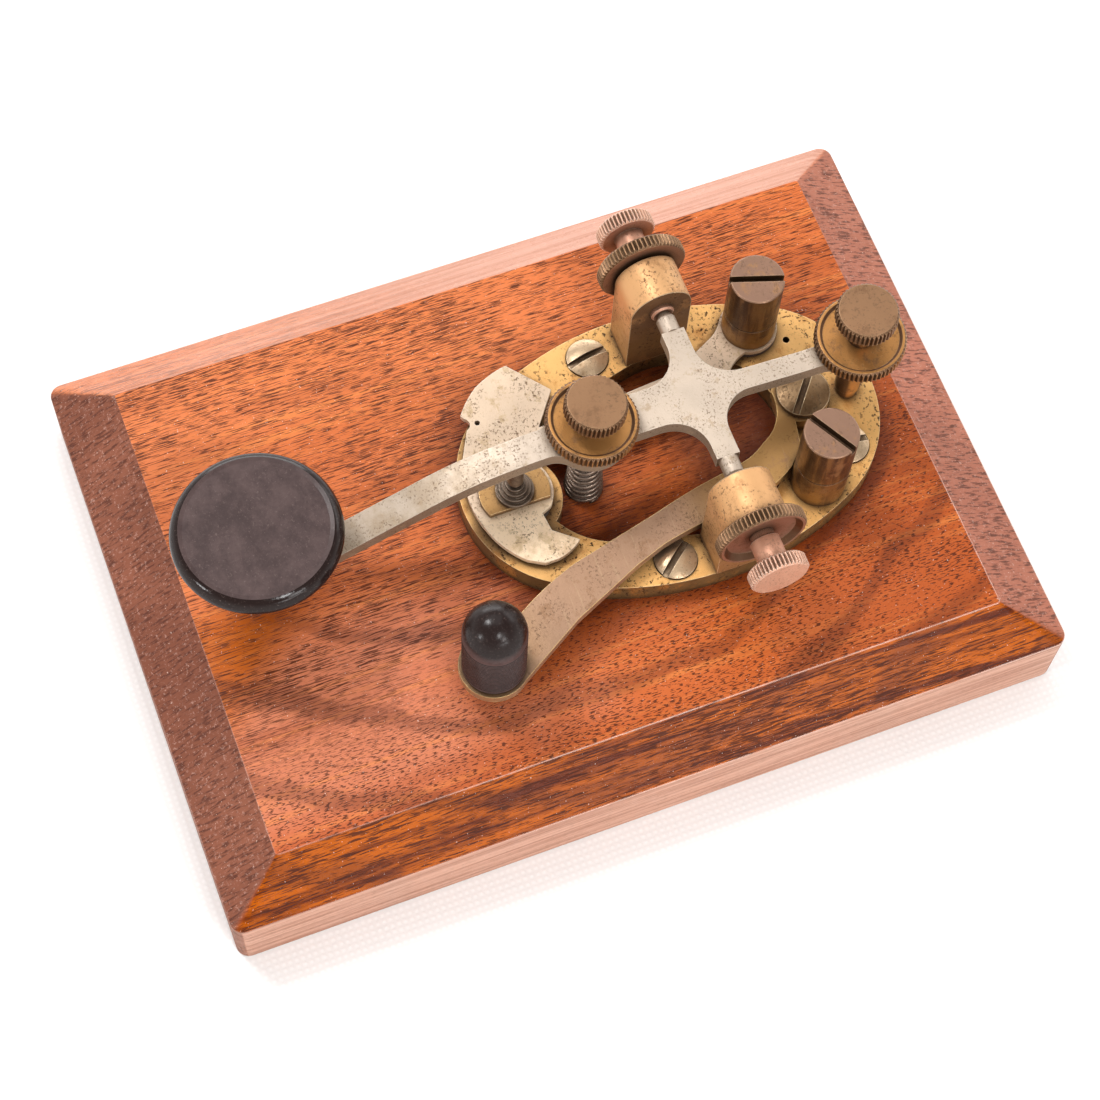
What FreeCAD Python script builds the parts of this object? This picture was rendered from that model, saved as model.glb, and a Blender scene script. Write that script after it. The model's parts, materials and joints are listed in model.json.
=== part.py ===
import FreeCAD, Part
import math
import os
import Sketcher

# A camelback telegraph key on a bevelled wooden board.
#
# Frame: +Z up, origin at the bottom centre of the board. The operator sits at -Y and the
# knob is at that end. The wire terminals and the gap screw are at the +Y end. The axle of
# the lever lies along X. The circuit closer is on the +X side.

Vector = FreeCAD.Vector
Rotation = FreeCAD.Rotation
Placement = FreeCAD.Placement
X_AXIS = Vector(1, 0, 0)
Y_AXIS = Vector(0, 1, 0)
Z_AXIS = Vector(0, 0, 1)

# Driving dimensions in millimetres: alias, value, what it is.
DIMENSIONS = [
    ("board_length", 160.0, "board, along Y"),
    ("board_width", 113.0, "board, along X"),
    ("board_height", 22.0, "board, overall"),
    ("board_edge", 14.9, "height of the board's upright edge"),
    ("bevel_side", 9.2, "plan width of the bevel along the long sides"),
    ("bevel_end", 11.1, "plan width of the bevel along the ends"),
    ("board_corner", 2.4, "plan radius of the board's corners"),
    ("frame_thick", 5.0, "thickness of the brass frame plate"),
    ("frame_half", 27.0, "half width of the frame"),
    ("frame_aside", 0.8, "from the lever to the frame's middle, towards -X"),
    ("frame_mid", 23.1, "Y of the frame's widest place"),
    ("frame_reach", 40.1, "from the widest place to each end"),
    ("frame_front_round", 22.1, "radius of the frame's front end"),
    ("frame_rear_round", 23.0, "radius of the frame's rear end"),
    ("opening_rear_round", 18.7, "radius of the opening's rear"),
    ("opening_rear_mid", 26.3, "Y of the centre of the opening's rear arc"),
    ("opening_front_round", 15.0, "radius of the opening's front"),
    ("opening_front_mid", 11.5, "Y of the centre of the opening's front arc"),
    ("lobe_round", 8.8, "radius of the lobe that carries the anvil"),
    ("anvil_y", -7.5, "Y of the anvil and of the hammer contact"),
    ("axle_y", 27.2, "Y of the lever's axle"),
    ("axle_z", 44.5, "height of the lever's axle"),
    ("trunnion_inner", 18.3, "X of the inner face of a trunnion"),
    ("trunnion_thick", 8.0, "thickness of a trunnion along X"),
    ("trunnion_round", 5.8, "radius of the top of a trunnion"),
    ("collar_long", 0.6, "length of the collar outside a trunnion"),
    ("collar_radius", 4.7, "radius of the collar outside a trunnion"),
    ("spigot_radius", 2.5, "radius of a trunnion's spigot in the frame"),
    ("pivot_radius", 2.2, "radius of a pivot screw's thread"),
    ("pivot_neck", 2.7, "radius of a pivot screw's neck"),
    ("pivot_tip", 17.4, "X of the inner end of a pivot screw"),
    ("pivot_neck_start", 29.9, "X where a pivot screw's neck starts"),
    ("pivot_head_start", 34.6, "X of the inner face of a pivot screw's head"),
    ("pivot_head_end", 37.4, "X of the outer end of a pivot screw"),
    ("side_thumb_radius", 5.4, "radius of a pivot screw's knurled head"),
    ("thumb_radius", 5.6, "radius of an upright screw's knurled head"),
    ("thumb_thick", 3.4, "thickness of the knurled head of an upright screw"),
    ("nut_radius", 8.3, "radius of a knurled locknut"),
    ("nut_thick", 2.9, "thickness of an upright locknut"),
    ("side_nut_thick", 2.6, "thickness of a locknut on a pivot screw"),
    ("knurl_depth", 0.4, "depth of the knurling"),
    ("knurl_clear", 0.3, "how far the knurling cutter reaches outside the rim"),
    ("running_gap", 0.05, "radial clearance of a thread or a running fit"),
    ("seat_gap", 0.1, "gap between faces of pieces that turn on each other"),
    ("upright_radius", 2.4, "radius of the thread of the tension and gap screws"),
    ("lever_thick", 3.0, "thickness of the lever"),
    ("lever_seat", 46.0, "height of the lever's top at the front eye"),
    ("eye_boss", 0.6, "height of the leaning boss on the front eye"),
    ("trunk_half", 3.9, "half width of the lever between its eye and its axle"),
    ("front_arm_half", 2.8, "half width of the lever's front arm"),
    ("rear_arm_half", 2.0, "half width of the lever's rear arm"),
    ("axle_arm_half", 2.15, "half width of the arms along the axle"),
    ("axle_arm_reach", 13.2, "X where an arm becomes a round journal"),
    ("journal_radius", 1.8, "radius of a journal of the lever"),
    ("journal_reach", 16.3, "X where a journal becomes a cone"),
    ("cone_reach", 18.7, "X of the tip of a journal's cone"),
    ("cone_tip", 0.3, "radius at the tip of a journal's cone"),
    ("front_eye", 7.0, "radius of the lever's eye for the tension screw"),
    ("rear_eye", 5.6, "radius of the lever's eye for the gap screw"),
    ("tension_y", 6.4, "Y of the tension screw where it leaves the lever"),
    ("tension_tilt", 4.0, "degrees that the tension screw leans back"),
    ("tension_rise", 9.7, "from the lever's seat to the top of the tension screw"),
    ("tension_drop", 4.6, "from the lever's seat to the lower end of the tension screw"),
    ("gap_y", 58.0, "Y of the gap screw"),
    ("gap_top", 57.0, "height of the top of the gap screw"),
    ("gap_seat", 45.0, "height of the lever's top at the rear eye"),
    ("knob_y", -54.8, "Y of the knob"),
    ("knob_seat", 32.0, "height of the lever's top under the knob"),
    ("knob_height", 18.0, "height of the knob above the lever"),
    ("knob_radius", 15.0, "radius of the knob's disc"),
    ("knob_disc", 4.2, "thickness of the knob's disc"),
    ("knob_waist", 5.6, "radius of the knob's waist"),
    ("knob_base", 7.0, "radius of the knob's base"),
    ("knob_eye", 5.4, "radius of the lever's end under the knob"),
    ("sheet_thick", 0.8, "thickness of the insulating sheet"),
    ("plate_thick", 1.2, "thickness of the contact plate"),
    ("washer_thick", 1.2, "thickness of the anvil's washer"),
    ("washer_radius", 6.5, "radius of the anvil's washer"),
    ("anvil_height", 3.6, "height of the anvil above its washer"),
    ("anvil_radius", 3.5, "radius of the anvil's base"),
    ("contact_gap", 0.8, "gap between the hammer and the anvil at rest"),
    ("hammer_radius", 1.5, "radius of the hammer contact"),
    ("left_terminal_x", -17.5, "X of the left wire terminal"),
    ("left_terminal_y", 45.4, "Y of the left wire terminal"),
    ("right_terminal_x", 15.7, "X of the right wire terminal"),
    ("right_terminal_y", 45.7, "Y of the right wire terminal"),
    ("terminal_radius", 5.0, "radius of a wire terminal"),
    ("terminal_base", 6.4, "height of the lower part of the left terminal"),
    ("terminal_rise", 2.4, "how much taller the right terminal's lower part is"),
    ("terminal_cap", 11.1, "height of the slotted cap of a terminal"),
    ("stud_radius", 2.0, "radius of the studs of the terminals"),
    ("closer_y", 48.8, "Y of the circuit closer's pivot"),
    ("closer_thick", 2.0, "thickness of the circuit closer's arm"),
    ("closer_pivot", 2.3, "radius of the closer screw's shank"),
    ("closer_thread", 1.725, "radius of the closer screw's thread in the frame"),
    ("closer_head", 4.9, "radius of the closer screw's head"),
    ("closer_knob_x", 30.4, "X of the closer's knob"),
    ("closer_knob_y", -22.7, "Y of the closer's knob"),
    ("closer_knob_radius", 5.7, "radius of the closer's knob"),
    ("closer_knob_wall", 14.2, "height of the straight side of the closer's knob"),
    ("wood_screw_head", 3.9, "radius of a wood screw's head"),
    ("wood_screw_shank", 2.0, "radius of a wood screw's shank"),
    ("wood_screw_thread", 1.6, "radius of a wood screw's thread in the board"),
    ("wood_screw_long", 17.0, "length of a wood screw under its head's face"),
    ("screw_seat", 2.0, "depth of a wood screw's seat in the frame"),
    ("screw_rim", 0.4, "height of the rim of a wood screw's head above the frame"),
    ("screw_dome", 0.9, "rise of the dome above that rim"),
    ("slot_half", 0.6, "half width of a screwdriver slot"),
    ("slot_deep", 1.7, "depth of the slot in a terminal"),
    ("soft_edge", 0.2, "bevel on the edges of a terminal"),
    ("thumb_edge", 0.45, "bevel on the edges of a knurled piece"),
    ("nut_dish", 0.5, "depth of the dish in an upright locknut's face"),
    ("side_nut_dish", 1.0, "depth of the dish in the face of a pivot screw's locknut"),
    ("nut_rim", 0.9, "width of the raised rim of a locknut"),
    ("cup_gap", 0.07, "clearance round a journal in its cup"),
    ("pilot_radius", 1.3, "radius of the tension screw's pilot"),
    ("pilot_long", 3.4, "length of the tension screw's pilot"),
    ("cross_fillet", 6.5, "radius of the fillets of the lever's cross"),
    ("hammer_shank", 1.1, "radius of the hammer contact's shank in the lever"),
    ("hammer_skin", 1.2, "metal left above the hammer contact"),
    ("hammer_shoulder", 0.7, "from the lever's underside to the hammer's shoulder"),
    ("knob_screw_radius", 2.0, "radius of the knob's screw"),
    ("closer_stud", 1.5, "radius of the stud of the closer's knob"),
    ("bush_wall", 1.2, "wall of an insulating bush"),
    ("tail_eye_rim", 0.45, "rim of the tail's eye beyond the left terminal"),
    ("washer_flat", 3.0, "from the anvil's axis to the flat on its washer"),
    ("spare_hole", 0.65, "radius of the small hole at the frame's rear"),
    ("spring_y", 6.05, "Y of the spring"),
    ("spring_base", 3.3, "mean radius of the spring at the board"),
    ("spring_taper", 3.8, "degrees that the spring closes in on each side"),
    ("spring_wire", 0.42, "radius of the spring's wire"),
    ("spring_pitch", 1.7, "rise of the spring per turn"),
]

KNURLS_ON_NUT = 62
KNURLS_ON_SCREW = 44
# Where an arm's fillet meets a round eye, in degrees from the arm's direction.
NECK_ANGLE = 40.0
# Wood screws: x, y and the turn of the slot in degrees.
WOOD_SCREWS = [(-22.2, 15.2, 100.0), (21.2, 15.5, 129.0), (10.6, 53.8, 90.0)]
# Small empty holes: x and y at the frame's rear; x, y and radius in the contact plate's wing.
SPARE_HOLE = (-13.3, 51.6)
WING_HOLE = (-15.7, -8.9, 0.5)


class Size:
    """A length that carries both its value and the spreadsheet formula that gives it."""

    def __init__(self, value, formula):
        self.value = float(value)
        self.formula = formula

    def joined(self, other, sign, value):
        return Size(value, "({} {} {})".format(self.formula, sign, as_size(other).formula))

    def __add__(self, other):
        return self.joined(other, "+", self.value + as_size(other).value)

    def __sub__(self, other):
        return self.joined(other, "-", self.value - as_size(other).value)

    def __mul__(self, other):
        return self.joined(other, "*", self.value * as_size(other).value)

    def __truediv__(self, other):
        return self.joined(other, "/", self.value / as_size(other).value)

    def __radd__(self, other):
        return as_size(other) + self

    def __rsub__(self, other):
        return as_size(other) - self

    def __neg__(self):
        return Size(-self.value, "(-1 * {})".format(self.formula))

    def root(self):
        return Size(math.sqrt(self.value), "sqrt({})".format(self.formula))


def as_size(number):
    return number if isinstance(number, Size) else Size(number, repr(float(number)))


class Sizes:
    """The spreadsheet's cells, read by name."""

    def __init__(self, doc):
        sheet = doc.addObject("Spreadsheet::Sheet", "dims")
        for row, (alias, value, meaning) in enumerate(DIMENSIONS, start=1):
            sheet.set("A{}".format(row), meaning)
            sheet.set("B{}".format(row), str(value))
            sheet.setAlias("B{}".format(row), alias)
        doc.recompute()
        for alias, value, meaning in DIMENSIONS:
            setattr(self, alias, Size(sheet.get(alias), "dims." + alias))


doc = FreeCAD.newDocument("telegraph_key")
size = Sizes(doc)
board_top = size.board_height
frame_top = board_top + size.frame_thick
plate_base = frame_top + size.sheet_thick
plate_top = plate_base + size.plate_thick
closer_base = plate_top + size.seat_gap
closer_top = closer_base + size.closer_thick
anvil_top = plate_top + size.washer_thick + size.anvil_height


# ---------------------------------------------------------------- building blocks

def bind(owner, name, length):
    """Tie a property or a constraint to a formula, or set it when it is a plain number."""
    owner.setExpression(name, as_size(length).formula)


def new_body(name):
    body = doc.addObject("PartDesign::Body", name)
    body.Label = name
    return body


def new_sketch(body, role, height=0):
    """A sketch on one of the body's origin planes, raised along the plane's normal."""
    sketch = body.newObject("Sketcher::SketchObject", body.Label + "_sketch")
    plane = [item for item in body.Origin.OriginFeatures if item.Role == role][0]
    sketch.AttachmentSupport = [(plane, "")]
    sketch.MapMode = "FlatFace"
    bind(sketch, "AttachmentOffset.Base.z", height)
    return sketch


def pin_point(sketch, geometry, vertex, across, up):
    """Hold a vertex at its place, measured from the sketch's origin."""
    for kind, length in (("DistanceX", across), ("DistanceY", up)):
        length = as_size(length)
        index = sketch.addConstraint(Sketcher.Constraint(kind, -1, 1, geometry, vertex, length.value))
        if "dims." in length.formula:
            bind(sketch, "Constraints[{}]".format(index), length)


def arc_through(start, end, radius):
    """The minor arc from start to end. A positive radius turns left on the way."""
    chord = end - start
    middle = (start + end) * 0.5
    height = math.sqrt(max(radius * radius - chord.Length * chord.Length / 4.0, 0.0))
    left = Vector(-chord.y, chord.x, 0).normalize()
    side = 1.0 if radius > 0 else -1.0
    centre = middle + left * (side * height)
    crown = centre - left * (side * abs(radius))
    return Part.Arc(start, crown, end)


def add_outline(sketch, path):
    """A closed outline. Each corner is (across, up) or (across, up, radius of the arc to it)."""
    corners = [(as_size(item[0]), as_size(item[1])) for item in path]
    points = [Vector(across.value, up.value, 0) for across, up in corners]
    first = sketch.GeometryCount
    for index, item in enumerate(path):
        start = points[index - 1]
        end = points[index]
        if len(item) == 3:
            geometry = arc_through(start, end, as_size(item[2]).value)
        else:
            geometry = Part.LineSegment(start, end)
        sketch.addGeometry(geometry, False)
    count = len(path)
    ends = []
    for index, item in enumerate(path):
        # An arc is stored anticlockwise, so one that turns right ends at its first vertex.
        reverse = len(item) == 3 and as_size(item[2]).value < 0
        ends.append((2, 1) if reverse else (1, 2))
    for index in range(count):
        following = (index + 1) % count
        sketch.addConstraint(Sketcher.Constraint(
            "Coincident", first + index, ends[index][1], first + following, ends[following][0]))
        pin_point(sketch, first + index, ends[index][1], corners[index][0], corners[index][1])
        if len(path[index]) == 3:
            radius = as_size(path[index][2])
            constraint = Sketcher.Constraint("Radius", first + index, abs(radius.value))
            row = sketch.addConstraint(constraint)
            if "dims." in radius.formula:
                bind(sketch, "Constraints[{}]".format(row), radius if radius.value > 0 else -radius)


def add_circle(sketch, across, up, radius):
    row = sketch.addGeometry(Part.Circle(Vector(as_size(across).value, as_size(up).value, 0), Z_AXIS,
                                         as_size(radius).value), False)
    pin_point(sketch, row, 3, across, up)
    constraint = sketch.addConstraint(Sketcher.Constraint("Radius", row, as_size(radius).value))
    bind(sketch, "Constraints[{}]".format(constraint), radius)


def pad(body, sketch, length, both_ways=False):
    feature = body.newObject("PartDesign::Pad", body.Label + "_pad")
    feature.Profile = sketch
    bind(feature, "Length", length)
    feature.Midplane = both_ways
    return feature


def pocket(body, sketch, length, upward=True, both_ways=False):
    """Cut along the sketch's normal when upward, and against it otherwise."""
    feature = body.newObject("PartDesign::Pocket", body.Label + "_pocket")
    feature.Profile = sketch
    bind(feature, "Length", length)
    feature.Reversed = upward
    feature.Midplane = both_ways
    doc.recompute()
    before = feature.BaseFeature.Shape.Volume if feature.BaseFeature else 0.0
    if feature.BaseFeature and feature.Shape.Volume > before - 0.001:
        raise RuntimeError("{} removes nothing".format(feature.Label))
    return feature


def revolve(body, sketch, axis="V_Axis"):
    feature = body.newObject("PartDesign::Revolution", body.Label + "_revolution")
    feature.Profile = sketch
    feature.ReferenceAxis = (sketch, [axis])
    feature.Angle = 360
    return feature


def put(body, x, y, z, rotation=Rotation()):
    """Place a piece that was drawn about its own origin."""
    body.Placement = Placement(Vector(0, 0, 0), rotation)
    bind(body, "Placement.Base.x", x)
    bind(body, "Placement.Base.y", y)
    bind(body, "Placement.Base.z", z)


def turned_body(name, profile, x, y, z, rotation=Rotation()):
    """A turned piece: a profile of (radius, height) revolved about the piece's own Z axis."""
    body = new_body(name)
    sketch = new_sketch(body, "XZ_Plane")
    add_outline(sketch, profile)
    revolve(body, sketch)
    put(body, x, y, z, rotation)
    return body


def prism(name, path, base, height, holes=()):
    """A flat piece cut from sheet, with round holes of (x, y, radius)."""
    body = new_body(name)
    sketch = new_sketch(body, "XY_Plane", base)
    add_outline(sketch, path)
    for across, up, radius in holes:
        add_circle(sketch, across, up, radius)
    pad(body, sketch, height)
    return body


def box_path(x_low, y_low, x_high, y_high):
    return [(x_high, y_low), (x_high, y_high), (x_low, y_high), (x_low, y_low)]


def rounded_box_path(half_x, half_y, radius):
    return [
        (half_x - radius, -half_y), (half_x, -half_y + radius, radius),
        (half_x, half_y - radius), (half_x - radius, half_y, radius),
        (-half_x + radius, half_y), (-half_x, half_y - radius, radius),
        (-half_x, -half_y + radius), (-half_x + radius, -half_y, radius),
    ]


def slot_across(body, half_width, reach, floor, top):
    """A screwdriver slot along the piece's own X axis, from floor to top."""
    sketch = new_sketch(body, "XY_Plane", floor)
    add_outline(sketch, box_path(-as_size(reach), -as_size(half_width), reach, half_width))
    pocket(body, sketch, as_size(top) - floor)


# ---------------------------------------------------------------- board and frame

def make_wooden_base():
    """The board: upright edges, then a wide bevel up to the flat top."""
    body = new_body("wooden_base")
    half_x = size.board_width / 2
    half_y = size.board_length / 2
    lower = new_sketch(body, "XY_Plane")
    add_outline(lower, rounded_box_path(half_x, half_y, size.board_corner))
    pad(body, lower, size.board_edge)
    middle = new_sketch(body, "XY_Plane", size.board_edge)
    add_outline(middle, rounded_box_path(half_x, half_y, size.board_corner))
    upper = new_sketch(body, "XY_Plane", board_top)
    add_outline(upper, rounded_box_path(half_x - size.bevel_side, half_y - size.bevel_end,
                                        size.board_corner / 4))
    loft = body.newObject("PartDesign::AdditiveLoft", "board_bevel")
    loft.Profile = middle
    loft.Sections = [upper]
    loft.Ruled = True
    holes = new_sketch(body, "XY_Plane", frame_top - size.wood_screw_long)
    for x, y, turn in WOOD_SCREWS:
        add_circle(holes, x, y, size.wood_screw_thread)
    pocket(body, holes, size.board_height)
    return body


def frame_outline():
    """An egg of six arcs, tangent to each other, widest at frame_mid."""
    half = size.frame_half
    path = []
    joints = []
    for sign, end_round in ((-1, size.frame_front_round), (1, size.frame_rear_round)):
        offset = size.frame_reach - end_round
        side = (half * half + offset * offset - end_round * end_round) / ((half - end_round) * 2)
        span = side - end_round
        joint_x = (side - half) / span * end_round
        joint_y = size.frame_mid + (offset + offset / span * end_round) * sign
        joints.append((joint_x, joint_y, end_round, side))
    front, rear = joints
    aside = size.frame_aside
    path.append((front[0] - aside, front[1], front[2]))
    path.append((half - aside, size.frame_mid, front[3]))
    path.append((rear[0] - aside, rear[1], rear[3]))
    path.append((-rear[0] - aside, rear[1], rear[2]))
    path.append((-half - aside, size.frame_mid, rear[3]))
    path.append((-front[0] - aside, front[1], front[3]))
    return path


def opening_outline():
    """The egg-shaped opening, with the anvil's lobe standing into its front."""
    rear_round = size.opening_rear_round
    front_round = size.opening_front_round
    apart = size.opening_rear_mid - size.opening_front_mid
    lean = (rear_round - front_round) / apart
    level = (as_size(1) - lean * lean).root()
    rear_x = rear_round * level
    rear_y = size.opening_rear_mid - rear_round * lean
    front_x = front_round * level
    front_y = size.opening_front_mid - front_round * lean
    drop = size.opening_front_mid - size.anvil_y
    along = (front_round * front_round - size.lobe_round * size.lobe_round + drop * drop) / (drop * 2)
    lobe_x = (front_round * front_round - along * along).root()
    lobe_y = size.opening_front_mid - along
    crown = size.opening_rear_mid + rear_round
    return [
        (rear_x, rear_y), (0, crown, rear_round), (-rear_x, rear_y, rear_round),
        (-front_x, front_y), (-lobe_x, lobe_y, front_round), (lobe_x, lobe_y, -size.lobe_round),
        (front_x, front_y, front_round),
    ]


def make_key_frame():
    """The brass plate that carries every working part."""
    body = new_body("key_frame")
    plate = new_sketch(body, "XY_Plane", board_top)
    add_outline(plate, frame_outline())
    pad(body, plate, size.frame_thick)
    holes = new_sketch(body, "XY_Plane", board_top)
    add_outline(holes, opening_outline())
    spigot_x = size.trunnion_inner + size.trunnion_thick / 2
    for side in (-1, 1):
        add_circle(holes, spigot_x * side, size.axle_y, size.spigot_radius)
    add_circle(holes, size.left_terminal_x, size.left_terminal_y, size.stud_radius + size.bush_wall)
    add_circle(holes, size.right_terminal_x, size.right_terminal_y, size.stud_radius)
    add_circle(holes, 0, size.anvil_y, size.stud_radius + size.bush_wall)
    add_circle(holes, 0, size.closer_y, size.closer_thread)
    add_circle(holes, SPARE_HOLE[0], SPARE_HOLE[1], size.spare_hole)
    for x, y, turn in WOOD_SCREWS:
        add_circle(holes, x, y, size.wood_screw_shank)
    pocket(body, holes, size.frame_thick)
    seats = new_sketch(body, "XY_Plane", frame_top - size.screw_seat)
    for x, y, turn in WOOD_SCREWS:
        add_circle(seats, x, y, size.wood_screw_head + size.seat_gap)
    pocket(body, seats, size.screw_seat)
    return body


def make_frame_screws():
    """Three alike slotted wood screws with low domed heads, each sunk in the frame."""
    head = size.wood_screw_head
    shank = size.wood_screw_shank
    thread = size.wood_screw_thread
    point = -size.wood_screw_long
    seat = -size.screw_seat
    dome = size.screw_dome
    rim = size.screw_rim
    crown = (head * head + dome * dome) / (dome * 2)
    screw = turned_body("wood_screw", [
        (0, point), (thread, point + 3), (thread, -size.frame_thick),
        (shank, -size.frame_thick), (shank, seat), (head, seat), (head, rim), (0, rim + dome, crown),
    ], 0, 0, 0)
    slot_across(screw, size.slot_half, head + 1, rim + dome - 1.3, rim + dome + 1)
    doc.recompute()
    copies = []
    for x, y, turn in WOOD_SCREWS:
        copy = screw.Shape.copy()
        copy.Placement = Placement(Vector(x, y, frame_top.value), Rotation(Z_AXIS, turn))
        copies.append(copy)
    group = doc.addObject("Part::Feature", "frame_screws")
    group.Label = "frame_screws"
    group.Shape = Part.makeCompound(copies)
    group.Placement = Placement()
    return group


def make_trunnion(name, side):
    """A block with a round top, a collar outside and a spigot into the frame."""
    body = new_body(name)
    inner = size.trunnion_inner
    outer = inner + size.trunnion_thick
    block = new_sketch(body, "YZ_Plane", inner if side > 0 else -outer)
    low = size.axle_y - size.trunnion_round
    high = size.axle_y + size.trunnion_round
    add_outline(block, [
        (high, frame_top), (high, size.axle_z), (size.axle_y, size.axle_z + size.trunnion_round,
                                                 size.trunnion_round),
        (low, size.axle_z, size.trunnion_round), (low, frame_top),
    ])
    pad(body, block, size.trunnion_thick)
    collar = new_sketch(body, "YZ_Plane", outer if side > 0 else -outer - size.collar_long)
    add_circle(collar, size.axle_y, size.axle_z, size.collar_radius)
    pad(body, collar, size.collar_long)
    spigot = new_sketch(body, "XY_Plane", board_top)
    add_circle(spigot, (inner + outer) / 2 * side, size.axle_y, size.spigot_radius)
    pad(body, spigot, size.frame_thick)
    thread = new_sketch(body, "YZ_Plane", inner if side > 0 else -outer - size.collar_long)
    add_circle(thread, size.axle_y, size.axle_z, size.pivot_radius + size.running_gap)
    pocket(body, thread, size.trunnion_thick + size.collar_long)
    return body


# ---------------------------------------------------------------- contacts

def make_contact_insulator():
    """The insulating sheet under the front of the contact plate."""
    return prism("contact_insulator", [
        (9.0, -4.4), (5.6, -4.8), (5.2, -3.12), (-5.6, -3.64, size.washer_radius + 0.3),
        (-10.2, -0.4), (-17.4, 5.4),
        (-20.6, 0.0), (-18.6, -8.4, 21.0), (-10.0, -13.2), (-3.5, -14.8), (4.8, -13.8),
        (12.2, -9.6), (14.0, -6.5), (13.9, -3.8),
    ], frame_top, size.sheet_thick, [(0, size.anvil_y, size.stud_radius)])


def make_bush(name, x, y, flange):
    """An insulating bush for a stud in the frame, with an optional flange on top."""
    inner = size.stud_radius
    outer = inner + size.bush_wall
    profile = [(inner, 0), (outer, 0), (outer, size.frame_thick)]
    if flange:
        top = size.frame_thick + size.sheet_thick
        profile += [(flange, size.frame_thick), (flange, top), (inner, top)]
    else:
        profile += [(inner, size.frame_thick)]
    return turned_body(name, profile, x, y, board_top)


def make_contact_plate():
    """The anvil's plate: two wings in front, and a tail that runs back to the left terminal."""
    eye = size.terminal_radius + size.tail_eye_rim
    eye_x = size.left_terminal_x
    eye_y = size.left_terminal_y
    return prism("contact_plate", [
        (9.0, -3.7), (5.3, -4.1), (4.4, -2.1), (-4.9, -2.05, 7.1), (-5.6, 12.0), (-7.4, 30.0), (-9.6, 38.3),
        (eye_x + eye * 0.88, eye_y - eye * 0.47, -9.0), (eye_x + eye * 0.47, eye_y + eye * 0.88, eye),
        (eye_x - eye * 0.88, eye_y + eye * 0.47, eye), (eye_x - eye * 0.6, eye_y - eye * 0.8, eye),
        (-17.7, 38.2, -9.0), (-13.0, 29.0), (-11.6, 12.0), (-11.0, 1.3), (-17.5, 6.2), (-25.0, 0.0),
        (-22.6, -6.8, 20.0), (-18.1, -11.3, 20.0), (-17.3, -10.9), (-14.9, -11.2, -1.3),
        (-9.9, -13.8), (-4.0, -15.4),
        (5.2, -14.6, 18.0), (12.9, -9.9, 18.0), (14.6, -7.0), (14.6, -4.3), (12.4, 0.4, 10.0),
    ], plate_base, size.plate_thick,
        [(0, size.anvil_y, size.stud_radius), (eye_x, eye_y, size.stud_radius), WING_HOLE])


def make_anvil_washer():
    """A brass washer with one flat, under the anvil."""
    radius = size.washer_radius
    flat = size.washer_flat
    half = (radius * radius - flat * flat).root()
    return prism("anvil_washer", [
        (flat, size.anvil_y + half), (-radius, size.anvil_y, radius), (flat, size.anvil_y - half, radius),
    ], plate_top, size.washer_thick, [(0, size.anvil_y, size.stud_radius)])


def make_anvil_contact():
    """The anvil: a stepped cone on a stud that goes down through the bush."""
    base = plate_top + size.washer_thick
    radius = size.anvil_radius
    step = size.anvil_height / 4
    ledge = size.anvil_radius / 6
    profile = [(0, board_top + 0.5), (size.stud_radius, board_top + 0.5), (size.stud_radius, base)]
    for index in range(4):
        profile.append((radius - ledge * index, base + step * index))
        profile.append((radius - ledge * index, base + step * (index + 1)))
    profile.append((0, anvil_top))
    return turned_body("anvil_contact", profile, 0, size.anvil_y, 0)


# ---------------------------------------------------------------- terminals

def make_terminal_base(name, x, y, foot, height):
    """The lower half of a binding post, with its stud in the frame."""
    bore = size.stud_radius + size.running_gap
    drop = foot - board_top
    return turned_body(name, [
        (0, -drop), (size.stud_radius, -drop), (size.stud_radius, 0), (size.terminal_radius, 0),
        (size.terminal_radius, height), (bore, height), (bore, 1.0), (0, 1.0),
    ], x, y, foot)


def make_terminal_cap(name, x, y, foot, height, turn):
    """The slotted upper half of a binding post, with its screw in the lower half."""
    radius = size.terminal_radius
    seat = height + size.seat_gap
    top = seat + size.terminal_cap
    edge = size.soft_edge
    body = turned_body(name, [
        (0, 1.5), (size.stud_radius, 1.5), (size.stud_radius, seat), (radius - edge, seat),
        (radius, seat + edge), (radius, top - edge), (radius - edge, top), (0, top),
    ], x, y, foot, Rotation(Z_AXIS, turn))
    slot_across(body, size.slot_half, radius + 1, top - size.slot_deep, top + 1)
    return body


# ---------------------------------------------------------------- knurled pieces

def knurl(body, radius, height, teeth):
    """Straight knurling: one V groove along the rim, repeated round the axis."""
    pitch = radius * (2 * math.pi / teeth)
    groove = new_sketch(body, "XY_Plane")
    half = pitch * 0.42
    outside = radius + size.knurl_clear
    add_outline(groove, [(radius - size.knurl_depth, 0), (outside, half * 1.7), (outside, half * -1.7)])
    cut = pocket(body, groove, height)
    pattern = body.newObject("PartDesign::PolarPattern", body.Label + "_knurl")
    pattern.Originals = [cut]
    pattern.Axis = (groove, ["N_Axis"])
    pattern.Angle = 360
    pattern.Occurrences = teeth
    body.Tip = pattern


def thumb_head(radius, low, high):
    """The profile of a screw's round head, from its underside to its top."""
    edge = size.thumb_edge
    return [(radius - edge, low), (radius, low + edge), (radius, high - edge), (radius - edge, high),
            (0, high)]


def make_locknut(name, bore, thick, dish, x, y, z, rotation):
    """A knurled nut with a dished outer face."""
    radius = size.nut_radius
    edge = size.thumb_edge
    rim = radius - size.nut_rim
    floor = thick - dish
    body = turned_body(name, [
        (bore, 0), (radius - edge, 0), (radius, edge), (radius, thick - edge), (radius - edge, thick),
        (rim, thick), (rim - dish, floor), (bore, floor),
    ], x, y, z, rotation)
    knurl(body, radius, thick, KNURLS_ON_NUT)
    return body


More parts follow.
